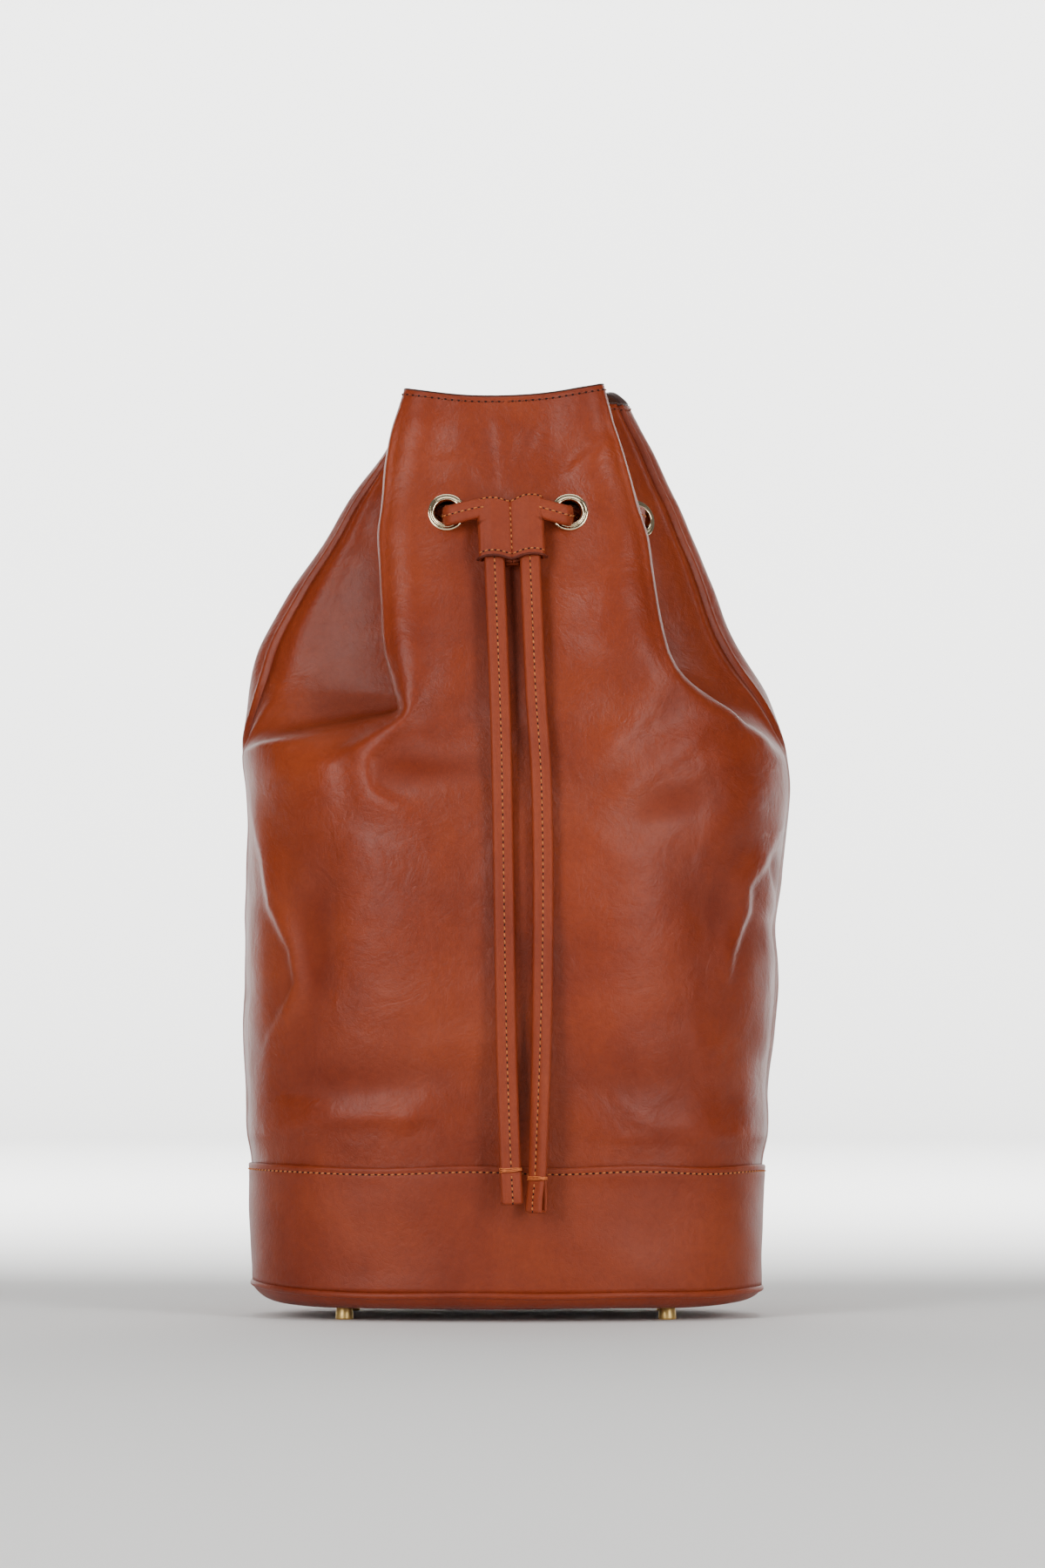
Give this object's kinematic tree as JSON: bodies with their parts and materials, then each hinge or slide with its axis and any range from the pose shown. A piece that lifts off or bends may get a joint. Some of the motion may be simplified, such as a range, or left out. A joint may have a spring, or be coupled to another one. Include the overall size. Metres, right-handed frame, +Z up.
{
  "type": "bucket bag",
  "caption": "Tall oval leather bucket bag: a gathered neck with metal eyelets, flat drawstring and sliding keeper, a stitched base band and stud feet.",
  "frame": {"origin": "middle of the footprint, on the surface under the four feet", "axes": "+Z up, -Y towards the front with the drawstring ends, +X to the right seen from the front"},
  "size_m": [0.2635, 0.1939, 0.453],
  "materials": {
    "body_leather": "semi-gloss aniline leather in cognac",
    "strap_leather": "semi-matt leather in cognac",
    "pale_gold": "polished pale gold plating",
    "gilt_brass": "satin gilt brass",
    "plain_steel": "zinc plated",
    "board": "grey fibre board",
    "lining_cloth": "plain woven cotton in brown"
  },
  "bodies": {
    "bag": {"body_front_panel": "body_leather", "body_back_panel": "body_leather", "base_band": "body_leather", "bottom_piping": "body_leather", "base_panel": "body_leather", "mouth_facing": "body_leather", "drawstring_loop": "strap_leather", "drawstring_tail_left": "strap_leather", "drawstring_tail_right": "strap_leather", "ring_tab_top": "strap_leather", "ring_tab_left": "strap_leather", "ring_tab_right": "strap_leather", "eyelet_front_left": "pale_gold", "eyelet_front_right": "pale_gold", "eyelet_pleat_left_front": "pale_gold", "eyelet_pleat_right_front": "pale_gold", "eyelet_pleat_left_back": "pale_gold", "eyelet_pleat_right_back": "pale_gold", "eyelet_back_left": "pale_gold", "eyelet_back_right": "pale_gold", "eyelet_washers": "pale_gold", "tab_rivets": "pale_gold", "foot_front_left": "gilt_brass", "foot_front_right": "gilt_brass", "foot_back_left": "gilt_brass", "foot_back_right": "gilt_brass", "foot_washers": "plain_steel", "base_board": "board", "lining_cup": "lining_cloth", "lining_wall": "lining_cloth"},
    "keeper": {"keeper_sleeve": "strap_leather", "keeper_strip": "strap_leather"},
    "ring_top": {"d_ring_top": "pale_gold"},
    "ring_left": {"d_ring_left": "pale_gold"},
    "ring_right": {"d_ring_right": "pale_gold"}
  },
  "joints": [
    {"name": "keeper_slide", "type": "slide", "parent": "bag", "child": "keeper", "axis": [0.042, -0.2851, -0.9576], "range_m": [0, 0.055]},
    {"name": "ring_top_swing", "type": "hinge", "parent": "bag", "child": "ring_top", "pos_m": [0, 0.0812, 0.32308], "axis": [1, 0, 0], "range_deg": [0, 140]},
    {"name": "ring_left_swing", "type": "hinge", "parent": "bag", "child": "ring_left", "pos_m": [-0.06283, 0.08444, 0.044], "axis": [0.9738, 0.2275, 0], "range_deg": [0, 140]},
    {"name": "ring_right_swing", "type": "hinge", "parent": "bag", "child": "ring_right", "pos_m": [0.06283, 0.08444, 0.044], "axis": [0.9738, -0.2275, 0], "range_deg": [0, 140]}
  ]
}
